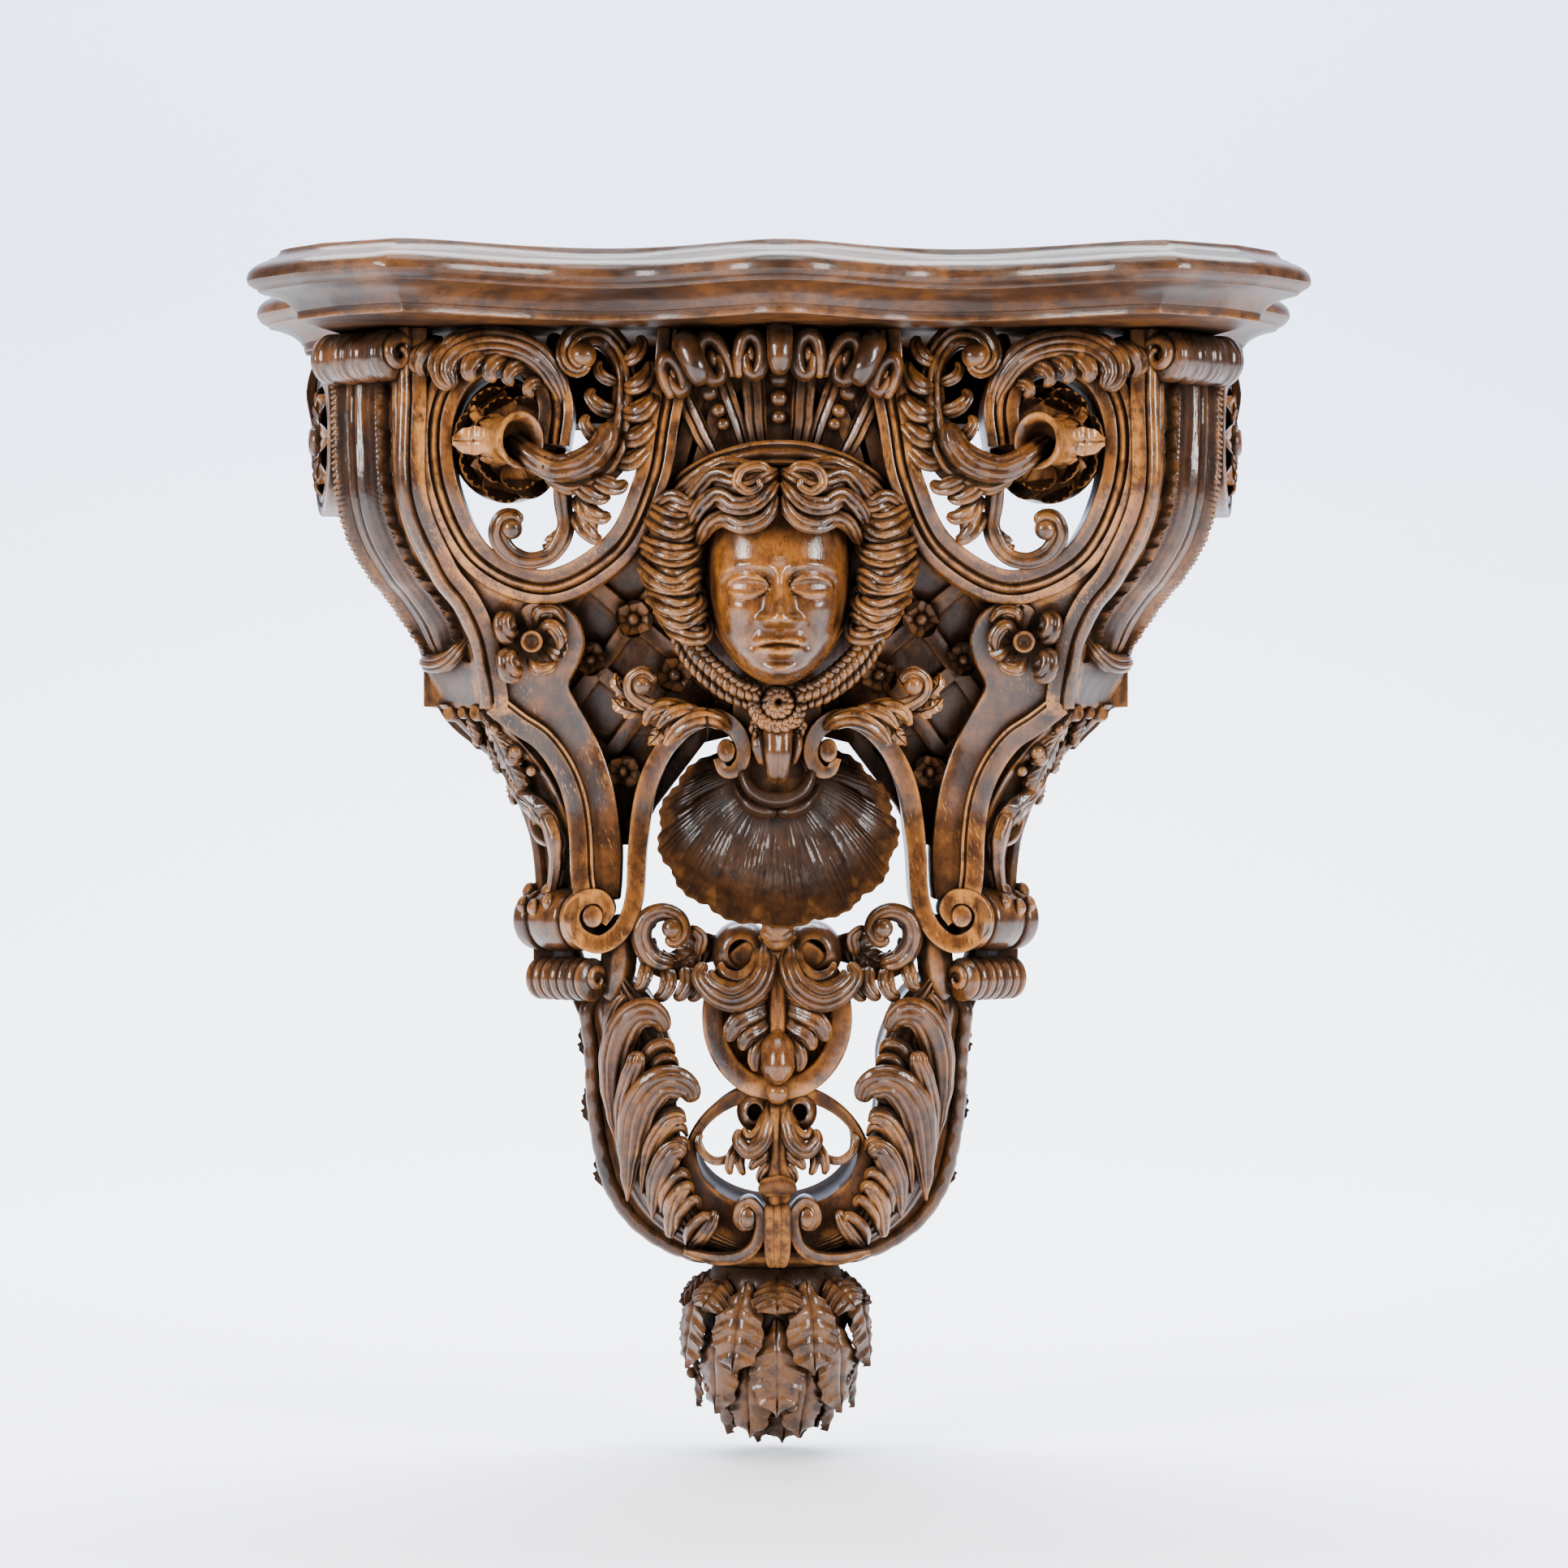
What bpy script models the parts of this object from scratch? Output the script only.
"""A carved wooden wall bracket: a moulded shelf on a pierced and scrolled bracket, with a leaf finial.

The object hangs on a wall in the plane y = 0 and faces -Y. Its origin is the middle of the back face of
the rail that lies on the wall under the shelf. Sizes below are in metres. The carving is drawn in
millimetres on the real bracket, as seen from the front, and is then fitted to the bracket's own
width, depth and height. One half is drawn, with x counted outwards, and the other half mirrors it.
"""
import math

import bmesh
import bpy
from mathutils import Vector

# Driving dimensions, in metres
SHELF_WIDTH = 0.600
SHELF_DEPTH = 0.270
SHELF_THICKNESS = 0.038
SHELF_CORNER = 0.2075
SHELF_DIP = 0.044
SHELF_DIP_PLACE = 0.093
RAIL_HEIGHT = 0.043
RAIL_DEPTH = 0.050
BRACKET_WIDTH = 0.540
BRACKET_DEPTH = 0.210
BRACKET_HEIGHT = 0.5215
FINIAL_WIDTH = 0.111
FINIAL_DEPTH = 0.100
FINIAL_HEIGHT = 0.106
CLEARANCE = 0.0003

# The bracket as drawn, in millimetres
DRAWN_WIDTH = 540
DRAWN_DEPTH = 210
DRAWN_TOP = 21.5
DRAWN_FOOT = -500
RAIL_SEAT = 247
FOOT_MIDDLE = -58

BRACKET_TOP = RAIL_HEIGHT / 2
SHELF_UNDERSIDE = BRACKET_TOP + CLEARANCE
BRACKET_FOOT = BRACKET_TOP - BRACKET_HEIGHT
SHARE_X = BRACKET_WIDTH / DRAWN_WIDTH
SHARE_Y = BRACKET_DEPTH / DRAWN_DEPTH
SHARE_Z = BRACKET_HEIGHT / (DRAWN_TOP - DRAWN_FOOT)

# Depth of the carved front, as pairs of height and depth from the top down
FRONT = ((22, -165), (-50, -165), (-69, -164), (-93, -157), (-113, -146), (-123, -138), (-137, -130),
         (-150, -126), (-184, -115), (-200, -108), (-250, -104), (-320, -110), (-345, -115),
         (-480, -110), (-500, -95))

# Middle of the corner leg at each height: height, distance outwards, depth
LEG = ((24, 226, -147), (-34, 226, -147), (-69, 224, -146), (-93, 218, -139), (-113, 207, -128),
       (-123, 199, -120), (-137, 190, -112), (-150, 186, -108), (-185, 175, -97))
LOWER_LEG = ((-183, 176, -99), (-196, 165, -95), (-210, 152, -91), (-226, 140, -90), (-248, 130, -89),
             (-270, 125, -89), (-318, 122, -90))

# Middle line of the strap on the wall, seen from the front
WALL_LINE = ((256, 24), (263, -2), (252, -45), (226, -95), (202, -138), (186, -184), (154, -213),
             (134, -255), (126, -300), (112, -345), (100, -372))

OUTWARD = Vector((1, -1, 0)).normalized()
ACROSS = Vector((-1, -1, 0)).normalized()
FORWARD = Vector((0, -1, 0))
UP = Vector((0, 0, 1))


def between(rows, place, column=1):
    """The value in a column at a place, read along straight lines between rows in falling order."""
    if place >= rows[0][0]:
        return rows[0][column]
    for above, below in zip(rows, rows[1:]):
        if place >= below[0]:
            share = (place - below[0]) / (above[0] - below[0])
            return below[column] + (above[column] - below[column]) * share
    return rows[-1][column]


def front(z):
    """Depth of the carved front at a drawn height."""
    return between(FRONT, z)


def on_bracket(point):
    """A drawn point of the bracket at its real place, in metres."""
    x, y, z = point
    return Vector((x * SHARE_X, y * SHARE_Y, BRACKET_TOP + (z - DRAWN_TOP) * SHARE_Z))


def smooth(points, count):
    """Points spread evenly along a smooth curve through the given ones."""
    points = [Vector(point) for point in points]
    fine = []
    for i, (a, b) in enumerate(zip(points, points[1:])):
        before = points[i - 1] if i else a * 2 - b
        after = points[i + 2] if i + 2 < len(points) else b * 2 - a
        for step in range(8):
            t = step / 8
            fine.append((2 * a + (b - before) * t + (2 * before - 5 * a + 4 * b - after) * t * t
                         + (3 * a - before - 3 * b + after) * t ** 3) / 2)
    fine.append(points[-1])
    lengths = [0.0]
    for a, b in zip(fine, fine[1:]):
        lengths.append(lengths[-1] + (b - a).length)
    spread = []
    k = 0
    for step in range(count):
        goal = lengths[-1] * step / (count - 1)
        while k < len(fine) - 2 and lengths[k + 1] < goal:
            k += 1
        spread.append(fine[k].lerp(fine[k + 1], (goal - lengths[k]) / (lengths[k + 1] - lengths[k])))
    return spread


def directions(path):
    """The direction of travel at each point of a path."""
    last = len(path) - 1
    return [(path[min(i + 1, last)] - path[max(i - 1, 0)]).normalized() for i in range(len(path))]


def make_object(name, points, faces):
    """A closed object of triangles that face outwards."""
    mesh = bpy.data.meshes.new(name)
    mesh.from_pydata(points, [], faces)
    shape = bmesh.new()
    shape.from_mesh(mesh)
    bmesh.ops.triangulate(shape, faces=shape.faces)
    bmesh.ops.recalc_face_normals(shape, faces=shape.faces)
    shape.to_mesh(mesh)
    shape.free()
    obj = bpy.data.objects.new(name, mesh)
    bpy.context.scene.collection.objects.link(obj)
    return obj


def make_box(name, low, high):
    """A box between two corners."""
    points = [(x, y, z) for x in (low[0], high[0]) for y in (low[1], high[1]) for z in (low[2], high[2])]
    faces = [(0, 1, 3, 2), (4, 6, 7, 5), (0, 4, 5, 1), (2, 3, 7, 6), (0, 2, 6, 4), (1, 5, 7, 3)]
    return make_object(name, points, faces)


def skin_faces(rings, looped=False):
    """Faces between rings that follow each other, with both ends closed unless the rings form a loop."""
    size = len(rings[0])
    total = len(rings) * size
    faces = []
    for i in range(len(rings) if looped else len(rings) - 1):
        for j in range(size):
            a, b = i * size + j, i * size + (j + 1) % size
            faces.append((a, b, (b + size) % total, (a + size) % total))
    if not looped:
        faces.append(tuple(range(size)))
        faces.append(tuple(range(total - size, total)))
    return faces


def finish(obj, colour, roughness):
    """Gives an object its own waxed wood and sharp or smooth edges by their angle."""
    material = bpy.data.materials.new(obj.name + " wood")
    material.use_nodes = True
    shader = material.node_tree.nodes["Principled BSDF"]
    shader.inputs["Base Color"].default_value = (*colour, 1)
    shader.inputs["Roughness"].default_value = roughness
    shader.inputs["Metallic"].default_value = 0
    obj.data.materials.clear()
    obj.data.materials.append(material)
    obj.data.shade_smooth()
    obj.data.set_sharp_from_angle(angle=math.radians(40))


def apply_modifiers(obj):
    """Makes an object's mesh what its modifiers give, and takes them off."""
    mesh = bpy.data.meshes.new_from_object(obj.evaluated_get(bpy.context.evaluated_depsgraph_get()))
    obj.modifiers.clear()
    obj.data = mesh


def fill_hollows(mesh):
    """Fills the hollows that forms close in between them, by taking out their inward-facing skins."""
    shape = bmesh.new()
    shape.from_mesh(mesh)
    left = set(shape.faces)
    hollow = []
    while left:
        skin = [left.pop()]
        for face in skin:
            for edge in face.edges:
                for other in edge.link_faces:
                    if other in left:
                        left.discard(other)
                        skin.append(other)
        volume = 0.0
        for face in skin:
            first, *rest = [vert.co for vert in face.verts]
            volume += sum(first.dot(one.cross(two)) for one, two in zip(rest, rest[1:]))
        if volume < 0:
            hollow += skin
    bmesh.ops.delete(shape, geom=hollow, context="FACES")
    shape.to_mesh(mesh)
    shape.free()


class Carving:
    """Forms that are carved from one block of wood, drawn one by one and then joined."""

    def __init__(self, place):
        self.place = place
        self.forms = []

    def form(self, rings, looped=False, both=True):
        """A form over rings of drawn points, with its mirror image on the other side."""
        points = [Vector(point) for ring in rings for point in ring]
        for side in (1, -1) if both else (1,):
            placed = [self.place((point.x * side, point.y, point.z)) for point in points]
            self.forms.append(make_object("form", placed, skin_faces(rings, looped)))

    def strap(self, path, width, depth, count, proud=0, groove=0, both=True):
        """A band along a line on the carved front, with a groove down its middle if it has one."""
        path = smooth([(x, 0, z) for x, z in path], count)
        half = width / 2
        section = [(-half, depth), (-half, 0), (half, 0), (half, depth)]
        if groove:
            section[2:2] = [(-half / 3, 0), (0, groove), (half / 3, 0)]
        rings = []
        for point, way in zip(path, directions(path)):
            ring = []
            for u, v in section:
                spot = point + Vector((-way.z, 0, way.x)) * u
                spot.y = front(spot.z) - proud + v
                ring.append(spot)
            rings.append(ring)
        self.form(rings, both=both)

    def hoop(self, centre, radii, width, depths, count, axes=(Vector((1, 0, 0)), UP), both=False):
        """A closed ring about a centre, flat in the plane of two axes and as deep as its depths say."""
        centre = Vector(centre)
        through = axes[0].cross(axes[1])
        rings = []
        for i in range(count):
            turn = math.tau * i / count
            ring = []
            for side, depth in ((-1, 0), (1, 0), (1, 1), (-1, 1)):
                spot = centre - through * depths[depth]
                for axis, radius, share in zip(axes, radii, (math.cos(turn), math.sin(turn))):
                    spot = spot + axis * (radius + side * width / 2) * share
                ring.append(spot)
            rings.append(ring)
        self.form(rings, looped=True, both=both)

    def stem(self, path, radii, count, sides=6, both=True, flat=1.0):
        """A round or flattened stem along a line, as thick as its radii say from one end to the other."""
        path = smooth(path, count)
        rings = []
        for i, (point, way) in enumerate(zip(path, directions(path))):
            place = i / (count - 1) * (len(radii) - 1)
            k = min(int(place), len(radii) - 2)
            radius = radii[k] + (radii[k + 1] - radii[k]) * (place - k)
            side = way.cross(FORWARD).normalized()
            lift = side.cross(way).normalized() * flat
            rings.append([point + side * radius * math.cos(math.tau * j / sides)
                          + lift * radius * math.sin(math.tau * j / sides) for j in range(sides)])
        self.form(rings, both=both)

    def turned(self, centre, axis, outline, sides=10, both=True, petals=0.0):
        """A turned form: pairs of distance along its axis and radius, pinched at every other side."""
        centre, axis = Vector(centre), Vector(axis).normalized()
        side = axis.cross(UP if abs(axis.z) < 0.9 else FORWARD).normalized()
        lift = axis.cross(side)
        rings = []
        for along, radius in outline:
            ring = []
            for j in range(sides):
                turn = math.tau * j / sides
                reach = radius * (1 - petals * (j % 2))
                ring.append(centre + axis * along + (side * math.cos(turn) + lift * math.sin(turn)) * reach)
            rings.append(ring)
        self.form(rings, both=both)

    def ball(self, centre, radius, both=True):
        """A bead or a ball."""
        outline = [(-radius * math.cos(turn), radius * math.sin(turn)) for turn in (0.35, 1.0, 2.0, 2.8)]
        self.turned(centre, FORWARD, outline, sides=8, both=both)

    def joined(self, name, low, high, keep):
        """All forms as one solid with a share of its triangles, cut flat at the faces of a block."""
        body = self.forms[0]
        body.name = name
        others = bpy.data.collections.new("forms")
        bpy.context.scene.collection.children.link(others)
        for form in self.forms[1:]:
            bpy.context.scene.collection.objects.unlink(form)
            others.objects.link(form)
        union = body.modifiers.new("Union", "BOOLEAN")
        union.operation = "UNION"
        union.operand_type = "COLLECTION"
        union.collection = others
        union.solver = "MANIFOLD"
        apply_modifiers(body)
        fill_hollows(body.data)
        thin = body.modifiers.new("Thin", "DECIMATE")
        thin.ratio = keep
        block = make_box("block", low, high)
        trim = body.modifiers.new("Trim", "BOOLEAN")
        trim.operation = "INTERSECT"
        trim.object = block
        trim.solver = "MANIFOLD"
        apply_modifiers(body)
        for form in [block, *others.objects]:
            bpy.data.objects.remove(form)
        bpy.data.collections.remove(others)
        return body


def scrolled_ring(carving):
    """The large C-scroll on each side, with the flower at its eye and the leaf scrolls inside it."""
    carving.strap([(57, 26), (59, -2), (64, -30), (70, -62), (88, -98), (127, -119), (165, -104),
                   (184, -68), (187, -30), (176, -4), (152, 9), (131, 0), (122, -20), (124, -42)],
                  width=19, depth=55, count=26, groove=3)
    eye = (148, -141, -41)
    carving.turned(eye, FORWARD, [(-36, 30), (-4, 34), (6, 26), (14, 11)], sides=12, petals=0.15)
    carving.turned(eye, (-0.3, -0.95, -0.1), [(0, 13), (28, 13), (28, 9), (14, 7)], sides=8)
    carving.stem([(146, -152, -40), (140, -172, -47), (124, -174, -57), (101, -170, -53),
                  (90, -162, -38), (85, -156, -19), (84, -152, 1), (91, -152, 13), (101, -156, 16),
                  (111, -160, 12), (113, -162, 4), (108, -160, -2)],
                 radii=(5, 7, 10, 12, 12, 10, 8, 7, 8, 9), count=15)
    for x, z, lift in ((84, -44, -4), (80, -20, 0), (80, 4, 6)):
        carving.stem([(x + 6, -155, z), (x - 6, -162, z + lift), (x - 14, -156, z - 4)], (6, 7, 4), 4, 5)
    carving.stem([(110, -164, -52), (116, -158, -72), (117, -156, -88), (126, -155, -103),
                  (138, -155, -105), (149, -156, -99), (153, -158, -90), (150, -160, -82), (144, -160, -80)],
                 radii=(10, 7, 5, 6, 5, 6, 6, 7, 6), count=12)
    carving.stem([(110, -160, -58), (103, -160, -78), (96, -156, -95)], (9, 10, 5), 5)
    carving.strap([(200, -4), (190, 10), (172, 15), (156, 14), (143, 4)], 15, 22, 8, proud=9)
    carving.stem([(226, -148, 6), (212, -150, 4), (200, -156, 9), (188, -160, 13)], (12, 10, 9, 8), 5)


def frame(carving):
    """The plain S-shaped frame between the ring and the leg, down to the volutes beside the shell."""
    outer = ((172, -108), (165, -126), (161, -140), (159, -153), (157, -175), (157, -185), (135, -194),
             (120, -209), (111, -229), (107, -257), (107, -284))
    inner = ((143, -118), (116, -129), (106, -143), (108, -158), (120, -172), (117, -179), (107, -191),
             (98, -209), (91, -232), (87, -259), (87, -288))
    rings = []
    for (xo, zo), (xi, zi) in zip(outer, inner):
        rings.append([(xo, front(zo) + 46, zo), (xo, front(zo) + 3, zo),
                      (xi, front(zi) + 3, zi), (xi, front(zi) + 46, zi)])
    carving.form(rings)
    carving.strap([(200, 24), (200, -12), (200, -69), (185, -109), (173, -126), (166, -140), (162, -152),
                   (158, -177), (158, -186)], 16, 43, 10, proud=2)
    carving.strap([(158, -183), (144, -194), (131, -203), (120, -218), (113, -236), (110, -257),
                   (109, -279), (106, -300)], 13, 40, 9, proud=2)
    carving.strap([(30, -225), (19, -220), (16, -209), (22, -200), (34, -196.5), (51, -204), (65, -220),
                   (74, -243), (78, -270), (80, -293), (87, -311), (101, -318), (113, -311), (116, -300),
                   (108, -290), (97, -291)], 10, 42, 26, proud=4)
    for x, z, radius in ((31, -211, 9), (101, -303, 10)):
        carving.turned((x, front(z) + 20, z), FORWARD, [(-20, radius), (21, radius), (25, radius - 2)], 8)
    carving.stem([(36, -112, -194), (56, -120, -190), (72, -124, -184), (82, -126, -176)], (5, 9, 6, 8), 6)
    carving.turned((136, front(-149) + 4, -149), FORWARD, [(-6, 20), (8, 19), (14, 9)], 10, petals=0.3)


PANEL = ((24, 58), (-40, 67), (-85, 80), (-112, 108), (-130, 125), (-175, 129), (-200, 117), (-220, 108),
         (-243, 101), (-262, 98))
PANEL_INNER = ((-198, 15), (-205, 44), (-221, 59), (-243, 69), (-262, 80))
PANEL_SET_BACK = 21
PANEL_THICKNESS = 13


def trellis(carving):
    """The sunk panel behind the head, with its lattice and the small flowers at the crossings."""
    rings = []
    for z, half in PANEL[:7]:
        y = front(z) + PANEL_SET_BACK
        rings.append([(-half, y, z), (half, y, z), (half, y + PANEL_THICKNESS, z),
                      (-half, y + PANEL_THICKNESS, z)])
    carving.form(rings, both=False)
    rings = []
    for z, inner in PANEL_INNER:
        half = between(PANEL, z)
        y = front(z) + PANEL_SET_BACK + 1
        rings.append([(inner, y, z), (half, y, z), (half, y + PANEL_THICKNESS, z),
                      (inner, y + PANEL_THICKNESS, z)])
    carving.form(rings)
    for slope, spacing in ((-53, 34), (40, 34)):
        way = Vector((math.cos(math.radians(slope)), math.sin(math.radians(slope))))
        for k in range(-2, 4):
            start = Vector((80, -136)) + Vector((-way.y, way.x)) * spacing * k
            inside = [start + way * reach for reach in range(-120, 121, 6)]
            inside = [(x, z) for x, z in inside
                      if -252 < z < -98 and x < between(PANEL, z) - 1 and x > 26
                      and (z > -200 or x > between(PANEL_INNER, z) + 2)]
            if len(inside) > 4:
                carving.strap([inside[0], inside[len(inside) // 2], inside[-1]], 8, 10, 4,
                              proud=4 - PANEL_SET_BACK)
    for x, z in ((80, -136), (57, -167), (104, -157), (86, -221)):
        carving.turned((x, front(z) + PANEL_SET_BACK, z), FORWARD, [(-3, 9), (7, 10), (12, 5)], 8,
                       petals=0.35)
    carving.strap([(0, 16), (24, 11), (44, -12), (60, -62)], 9, 24, 8, proud=-8)
    carving.turned((0, front(-186) + 24, -186), FORWARD, [(-10, 22), (20, 22), (22, 20)], 14, both=False)
    carving.turned((0, front(-186) + 8, -185), FORWARD, [(0, 13), (10, 14), (14, 10), (10, 4)], 10,
                   both=False, petals=0.15)
    carving.turned((0, -110, -196), -UP, [(-6, 9), (6, 12), (18, 12), (26, 8), (30, 3)], 8, both=False)


# The head: its height, half width, depth of the middle without the nose, and how far the nose stands out
HEAD = ((-62, 30, -168, 0), (-76, 36, -181, 0), (-90, 39, -188, 0), (-104, 40, -190, 0),
        (-112, 40, -189, 3), (-119, 40, -184, 6), (-128, 39, -184, 12), (-136, 38, -184, 18),
        (-142, 36, -185, 8), (-148, 34, -189, 0), (-154, 31, -187, 0), (-162, 25, -188, 0),
        (-169, 16, -182, 0), (-173, 8, -174, 0))
HEAD_BACK = -112


def head(carving):
    """The calm mask, its hair parted in the middle, and the braids tied under the chin."""
    spread = (-1, -0.85, -0.5, -0.2, 0, 0.2, 0.5, 0.85, 1)
    rings = []
    for z, half, middle, nose in HEAD:
        edge = -152
        ring = []
        for share in spread:
            y = edge + (middle - edge) * math.sqrt(1 - share * share)
            if share == 0:
                y -= nose
            if z == -119 and abs(share) == 0.5:
                y -= 3
            ring.append((half * share, y, z))
        ring += [(half * 0.6, HEAD_BACK, z), (-half * 0.6, HEAD_BACK, z)]
        rings.append(ring)
    carving.form(rings, both=False)
    carving.stem([(-3, -178, -66), (16, -182, -64), (36, -176, -76), (50, -166, -96), (56, -158, -118),
                  (53, -154, -138), (42, -150, -156), (28, -146, -172), (12, -136, -184)],
                 radii=(8, 11, 13, 14, 15, 13, 10, 7, 6), count=13)
    carving.stem([(4, -162, -58), (28, -160, -60), (50, -150, -84), (62, -140, -112), (58, -136, -138),
                  (44, -130, -158)], radii=(9, 11, 13, 13, 11, 7), count=9)


def crown(carving):
    """The band over the hair and the three plumes that curl forwards under the shelf."""
    rings = []
    band = smooth([(-60, 0, -68), (-34, 0, -50), (0, 0, -43), (34, 0, -50), (60, 0, -68)], 9)
    for point, way in zip(band, directions(band)):
        across = Vector((-way.z, 0, way.x))
        y = -176 + 18 * (point.x / 60) ** 2
        rings.append([point + across * u + Vector((0, y + v, 0))
                      for u, v in ((-6, 30), (-6, 0), (0, -3), (6, 0), (6, 30))])
    carving.form(rings, both=False)
    for base, top, width, both in (((0, -38), (0, 8), 15, False), ((22, -40), (44, 2), 12, True)):
        foot, head_ = Vector((base[0], -156, base[1])), Vector((top[0], -176, top[1]))
        way = (head_ - foot).normalized()
        side = way.cross(FORWARD).normalized()
        rings = []
        for share, bow in ((0, 0), (0.35, -3), (0.7, -6), (1, -16)):
            middle = foot.lerp(head_, share) + Vector((0, bow, 0))
            half = width * (0.75 + 0.25 * share)
            rings.append([middle + side * half * u + Vector((0, v, 0))
                          for u, v in ((-1, 34), (-1, 0), (-0.6, 4), (0, 0), (0.6, 4), (1, 0), (1, 34))])
        carving.form(rings, both=both)
        carving.turned(head_ + Vector((0, -10, 0)), side,
                       [(-width, 6), (-width + 2, 9), (0, 10), (width - 2, 9), (width, 6)], 8, both=both)


def leg(carving):
    """The corner leg with its fluted leaf, the rolls at its top and foot and the leaf on its lower part."""
    flutes = ((-25, 26), (-25, 0), (-17, 5), (-8, 0), (2, 6), (12, 0), (18, 4), (25, 0), (25, 26))
    carving.form([[Vector((x, y, z)) + ACROSS * u - OUTWARD * v for u, v in flutes] for z, x, y in LEG])
    panel = ((-1, 22), (-1, 0), (-0.7, 0), (-0.6, 4), (0.6, 4), (0.7, 0), (1, 0), (1, 22))
    rings = []
    for z, x, y in LOWER_LEG:
        half = 21 if z > -200 else 18
        rings.append([Vector((x, y, z)) + ACROSS * u * half - OUTWARD * v for u, v in panel])
    carving.form(rings)
    carving.stem([(168, -102, -190), (160, -104, -204), (148, -100, -212), (138, -98, -232),
                  (128, -100, -246), (128, -98, -266), (122, -96, -284), (122, -98, -300)],
                 radii=(6, 9, 6, 9, 6, 8, 6, 5), count=12)
    carving.turned((227, -150, 7), ACROSS, [(-32, 8), (-30, 12), (-15, 11), (-13, 13.5), (3, 12), (5, 13.5),
                                            (20, 12.5), (31, 12.5), (33, 6)])
    carving.turned((185, -107, -159), ACROSS, [(-20, 4), (-16, 8), (16, 8), (20, 4)], 8)
    carving.turned((119, -89, -304), ACROSS, [(-28, 12), (-25, 17), (-8, 17), (-6, 15), (-4, 17), (14, 17),
                                              (18, 14)], 12)
    carving.turned((118, -92, -337), ACROSS, [(-23, 7), (-19, 11.5), (0, 10), (19, 11.5), (23, 7)])


def side(carving):
    """The side wings: a strap on the wall, a ring with a flower, and the web that ties them to the leg."""
    line = smooth([(x, 0, z) for x, z in WALL_LINE], 16)
    rings = []
    for point, way in zip(line, directions(line)):
        across = Vector((-way.z, 0, way.x))
        rings.append([point + across * u + Vector((0, y, 0))
                      for u, y in ((-7, 3), (-7, -30), (7, -30), (7, 3))])
    carving.form(rings)
    back = Vector((20, 114, 0)).normalized()
    middle = Vector((250, -76, -34))
    carving.hoop(middle, (42, 36), 13, (-7, 7), 16, axes=(back, UP), both=True)
    carving.turned(middle, back.cross(UP), [(-5, 26), (4, 33), (8, 20), (12, 10)], 12, petals=0.2)
    rise = [(x, z) for z, x in sorted(((z, x) for x, z in WALL_LINE), reverse=True)]
    wall = tuple((z, x) for x, z in rise)
    for heights, rows in (((-84, -110, -135, -160, -184), LEG), ((-184, -196, -208), LOWER_LEG),
                          ((-284, -312, -346), LOWER_LEG)):
        rings = []
        for z in heights:
            near = Vector((between(rows, z, 1) + 10, between(rows, z, 2) + 22, z))
            far = Vector((between(wall, z), -18, z))
            thick = (far - near).cross(UP).normalized() * 6
            rings.append([near - thick, far - thick, far + thick, near + thick])
        carving.form(rings)
    carving.form([[(RAIL_SEAT, y, z), (262, y, z), (262, y2, z), (RAIL_SEAT, y2, z)]
                  for z, y, y2 in ((-24, -48, 4), (24, -48, 4))])


def shell(carving):
    """The scallop under the head, with its round mouth, and the peg that it stands on."""
    rows = ((-222, 6, 6, -85, 0), (-222, 15, 14, -85, 0), (-223, 17, 15, -104, 4), (-225, 24, 20, -101, 5),
            (-234, 42, 31, -99, 7), (-247, 58, 45, -110, 14), (-254, 66, 52, -126, 22),
            (-254, 65, 51, -119, 21), (-245, 54, 43, -99, 13), (-232, 36, 29, -88, 6), (-223, 12, 12, -77, 2))
    count = 26
    rings = []
    for z, wide, high, y, lean in rows:
        ring = []
        for j in range(count):
            turn = math.tau * j / count
            rib = 1 - 0.08 * (j % 2) if wide > 30 else 1
            ring.append((wide * rib * math.cos(turn), y + lean * math.sin(turn),
                         z + high * rib * math.sin(turn)))
        rings.append(ring)
    carving.form(rings, both=False)
    carving.stem([(0, -124, -290), (0, -120, -302), (0, -112, -312), (0, -108, -322)], (8, 8, 10, 9), 4, 8,
                 both=False)


def crest(carving):
    """The leafy crest under the shell, with its hanging leaves, and the ring that they hang in."""
    carving.turned((24, -100, -323), FORWARD, [(-20, 15), (16, 17), (19, 13), (16, 7), (8, 6)], 10)
    carving.stem([(10, -116, -328), (18, -120, -342), (34, -121, -346), (49, -118, -335)], (8, 9, 9, 4), 6)
    carving.stem([(20, -104, -320), (42, -102, -324), (64, -102, -332), (78, -103, -326), (80, -106, -310),
                  (71, -110, -302), (64, -112, -309)], (12, 10, 9, 8, 7, 6, 7), 10)
    carving.stem([(60, -104, -330), (64, -108, -342), (56, -108, -348)], (8, 7, 3), 4, 5)
    carving.stem([(0, -106, -316), (0, -112, -345), (0, -116, -372), (0, -118, -392)], (10, 9, 7, 9), 6, 8,
                 both=False)
    for drop, reach, size in ((-344, 30, 7), (-356, 36, 9), (-372, 20, 7)):
        carving.stem([(2, -110, drop + 4), (reach * 0.6, -115, drop - 4), (reach, -114, drop - 16)],
                     (5, size, 4), 5, 5)
    carving.ball((0, -121, -384), 10, both=False)
    carving.ball((0, -118, -400), 7, both=False)
    carving.hoop((0, -110, -358), (36, 41), 12, (0, 46), 22)


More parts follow.
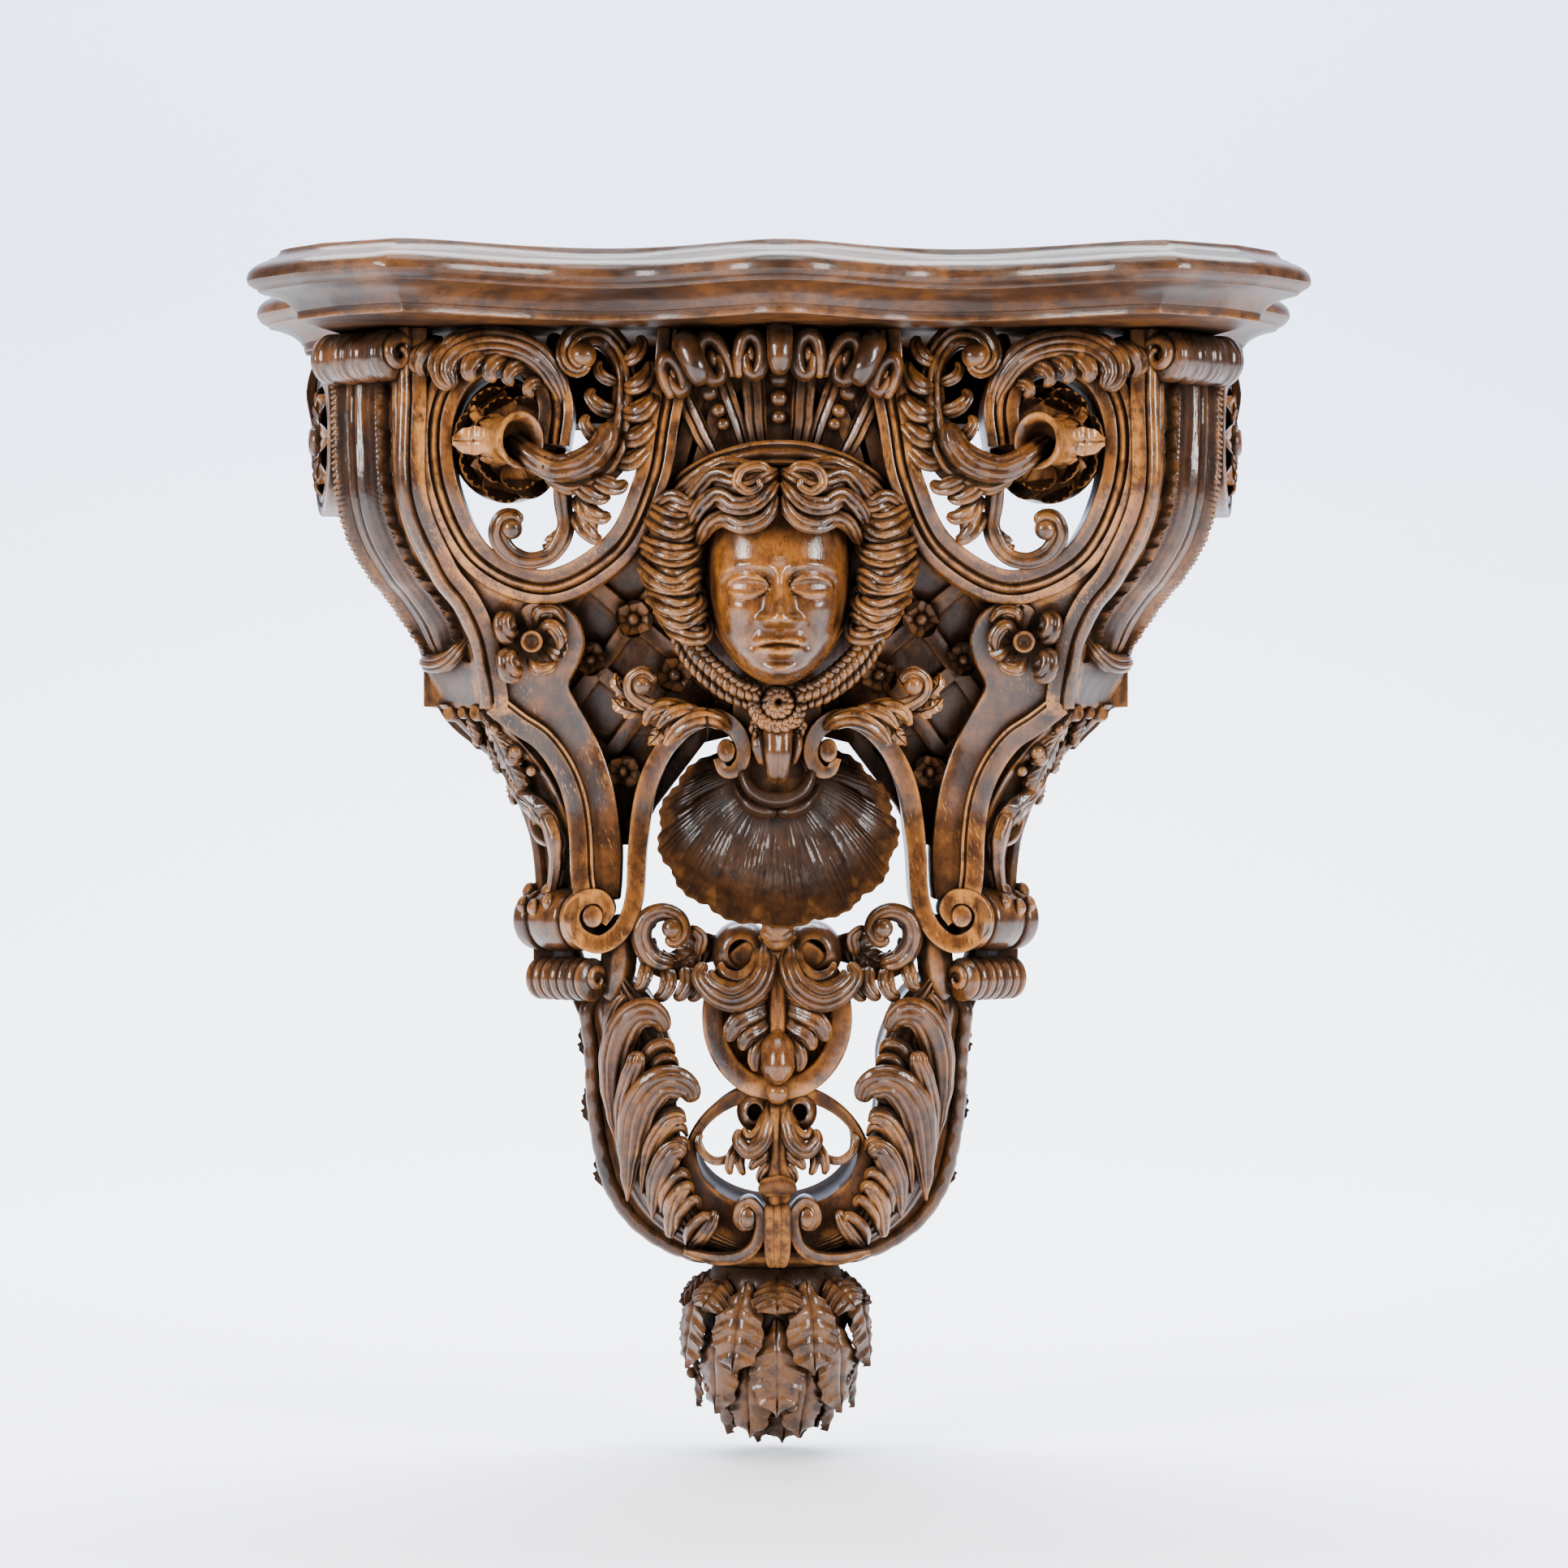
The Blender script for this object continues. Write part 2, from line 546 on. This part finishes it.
def foot(carving):
    """The deep lower ring with its small crest inside, the paired volutes under it and the base."""
    carving.hoop((0, -111, -442), (54, 41), 12, (0, 116), 30)
    carving.turned((15, -96, -411), FORWARD, [(-14, 10), (17, 11), (19, 8), (16, 4.5), (4, 4)], 8)
    carving.stem([(7, -110, -418), (12, -115, -430), (25, -112, -428)], (6, 8, 3), 4, 5)
    carving.stem([(0, -104, -402), (0, -106, -430), (0, -104, -452), (0, -104, -486)], (9, 9, 11, 9), 6, 8,
                 both=False)
    carving.stem([(12, -104, -426), (28, -105, -434), (40, -105, -437), (51, -106, -424)], (7, 5, 4, 4), 5, 5)
    carving.ball((0, -112, -450), 9, both=False)
    carving.strap([(24, -470), (17, -464), (10, -470), (9, -482), (16, -493), (34, -492)], 7, 40, 9, proud=8)
    carving.turned((20, front(-474) + 10, -474), FORWARD, [(-10, 7), (17, 7), (19, 5)], 8)
    carving.stem([(0, -104, -464), (0, -114, -474), (0, -112, -488), (0, -104, -497)], (7, 9, 9, 8), 5, 8,
                 both=False)
    carving.turned((0, FOOT_MIDDLE, -480), -UP, [(0, 44), (8, 47), (14, 42), (24, 36)], 16, both=False)


def side_leaf(carving):
    """The acanthus leaf that climbs each side of the lower ring, with lobes that curl inwards."""
    outer = ((98, -316), (103, -346), (109, -357), (107, -380), (106, -408), (101, -440), (93, -462),
             (76, -481), (48, -494), (6, -498))
    inner = ((82, -316), (84, -334), (69, -348), (56, -376), (54, -398), (51, -426), (48, -449), (40, -469),
             (23, -482), (6, -485))
    rings = []
    for (xo, zo), (xi, zi) in zip(outer, inner):
        xm, zm = (xo + xi) / 2, (zo + zi) / 2
        rings.append([(xo - 8, 3, zo), (xo, -60, zo), (xm + 6, -99, zm), (xi, -114, zi), (xi, 3, zi)])
    carving.form(rings)
    for path, radii in ((((98, -96, -388), (90, -107, -364), (76, -112, -354), (66, -113, -363)), (5, 9, 9, 5)),
                        (((92, -100, -424), (84, -110, -402), (66, -114, -395), (50, -116, -405)), (5, 9, 10, 6)),
                        (((90, -98, -458), (84, -107, -437), (70, -112, -431), (56, -113, -441)), (5, 9, 9, 5)),
                        (((80, -96, -477), (70, -104, -462), (59, -110, -459), (50, -108, -467)), (4, 8, 8, 4))):
        carving.stem(path, radii, 6)
    for z in (-372, -408, -444):
        x = between(tuple((high, wide) for wide, high in outer), z)
        carving.stem([(x - 8, -46, z - 16), (x + 2, -50, z), (x + 5, -40, z + 10)], (5, 6, 2), 4, 5)


def bracket():
    """The whole carved bracket as one solid."""
    carving = Carving(on_bracket)
    for draw in (scrolled_ring, frame, trellis, head, crown, leg, side, shell, crest, foot, side_leaf):
        draw(carving)
    body = carving.joined("carved_bracket", (-BRACKET_WIDTH, -BRACKET_DEPTH * 2, BRACKET_FOOT),
                          (BRACKET_WIDTH, 0, BRACKET_TOP), keep=0.28)
    finish(body, (0.16, 0.075, 0.03), 0.4)


def shelf_plan(inset):
    """The outline of the shelf seen from above, from one wall end to the other, moved inwards."""
    ear, deep = SHELF_WIDTH / 2, SHELF_DEPTH
    side_line = smooth([(ear, 0, 0), (ear * 0.987, -deep * 0.13, 0), (ear * 0.903, -deep * 0.296, 0),
                        (ear * 0.897, -deep * 0.426, 0), (ear * 0.937, -deep * 0.611, 0),
                        (ear * 0.953, -deep * 0.752, 0), (ear * 0.853, -deep * 0.9, 0),
                        (SHELF_CORNER, -deep, 0)], 12)
    half = [Vector((point.x, point.y)) for point in side_line]
    steps = 5
    for k in range(1, steps + 1):
        x = SHELF_CORNER + (SHELF_DIP_PLACE - SHELF_CORNER) * k / steps
        half.append(Vector((x, -deep + SHELF_DIP * (1 - math.cos(math.pi * k / steps)) / 2)))
    for k in range(1, steps + 1):
        x = SHELF_DIP_PLACE * (1 - k / steps)
        half.append(Vector((x, -deep + SHELF_DIP * (1 + math.cos(math.pi * k / steps)) / 2)))
    line = [Vector((-point.x, point.y)) for point in half] + half[-2::-1]
    moved = []
    for i, point in enumerate(line):
        before = (point - line[i - 1]).normalized() if i else Vector((0, -1))
        after = (line[i + 1] - point).normalized() if i < len(line) - 1 else Vector((0, 1))
        n1, n2 = Vector((-before.y, before.x)), Vector((-after.y, after.x))
        moved.append(point + (n1 + n2) / (1 + n1.dot(n2)) * inset)
    moved[0].y = moved[-1].y = 0
    return moved


# Profile of the shelf's edge: drop below the top as a share of the thickness, and inset in metres
SHELF_EDGE = ((0, 0.018), (0.14, 0.0136), (0.25, 0.004), (0.42, 0), (0.55, 0.006), (0.66, 0.016),
              (0.86, 0.026), (1, 0.026))


def shelf():
    """The moulded shelf: flat above and below, with a rounded nose over a hollow."""
    points, faces = [], []
    top = SHELF_UNDERSIDE + SHELF_THICKNESS
    rings = [[(point.x, point.y, top - SHELF_THICKNESS * drop) for point in shelf_plan(inset)]
             for drop, inset in SHELF_EDGE]
    for ring in rings:
        points += ring
    faces = skin_faces(rings)
    finish(make_object("shelf", points, faces), (0.2, 0.095, 0.035), 0.33)


def back_rail():
    """The plain rail on the wall under the shelf, between the side wings."""
    half = RAIL_SEAT * SHARE_X - CLEARANCE
    rail = make_box("back_rail", (-half, -RAIL_DEPTH, -RAIL_HEIGHT / 2), (half, 0, RAIL_HEIGHT / 2))
    finish(rail, (0.06, 0.035, 0.02), 0.6)


def on_finial(point):
    """A drawn point of the finial, in shares of its half width, half depth and height."""
    x, y, z = point
    top = BRACKET_FOOT - CLEARANCE
    return Vector((x * FINIAL_WIDTH / 2, FOOT_MIDDLE * SHARE_Y + y * FINIAL_DEPTH / 2,
                   top + z * FINIAL_HEIGHT))


def finial():
    """The hanging knop of overlapping laurel leaves under the bracket."""
    carving = Carving(on_finial)
    core = ((0.02, 0.64), (-0.08, 0.66), (-0.3, 0.78), (-0.55, 0.66), (-0.8, 0.4), (-0.95, 0.12))
    carving.form([[(radius * math.cos(math.tau * j / 14), radius * math.sin(math.tau * j / 14), z)
                   for j in range(14)] for z, radius in core], both=False)
    tiers = ((7, 0.0, -0.05, 0.66, -0.16, 0.98, 0.30), (9, 0.5, -0.1, 0.70, -0.52, 0.90, 0.26),
             (9, 0.0, -0.3, 0.72, -0.75, 0.72, 0.26), (6, 0.5, -0.55, 0.56, -0.97, 0.36, 0.24))
    for count, shift, z0, r0, z1, r1, wide in tiers:
        for i in range(count):
            turn = math.tau * (i + shift) / count - math.pi / 2
            away = Vector((math.cos(turn), math.sin(turn), 0))
            aside = Vector((-away.y, away.x, 0))
            rings = []
            for share, width, lift in ((0, 0.5, 0), (0.3, 1, 0.05), (0.7, 0.9, 0.07), (1, 0.15, 0.04)):
                reach = r0 + (r1 - r0) * share ** 1.5 + lift
                spot = away * reach + UP * (z0 + (z1 - z0) * share)
                rings.append([spot - aside * wide * width, spot + away * 0.06,
                              spot + aside * wide * width, spot - away * 0.16])
            carving.form(rings, both=False)
    body = carving.joined("leaf_finial", (-FINIAL_WIDTH, -FINIAL_DEPTH * 2, BRACKET_FOOT - 2 * FINIAL_HEIGHT),
                          (FINIAL_WIDTH, 0, BRACKET_FOOT - CLEARANCE), keep=0.5)
    finish(body, (0.13, 0.06, 0.025), 0.45)


for old in list(bpy.data.objects):
    bpy.data.objects.remove(old)
bracket()
shelf()
back_rail()
finial()
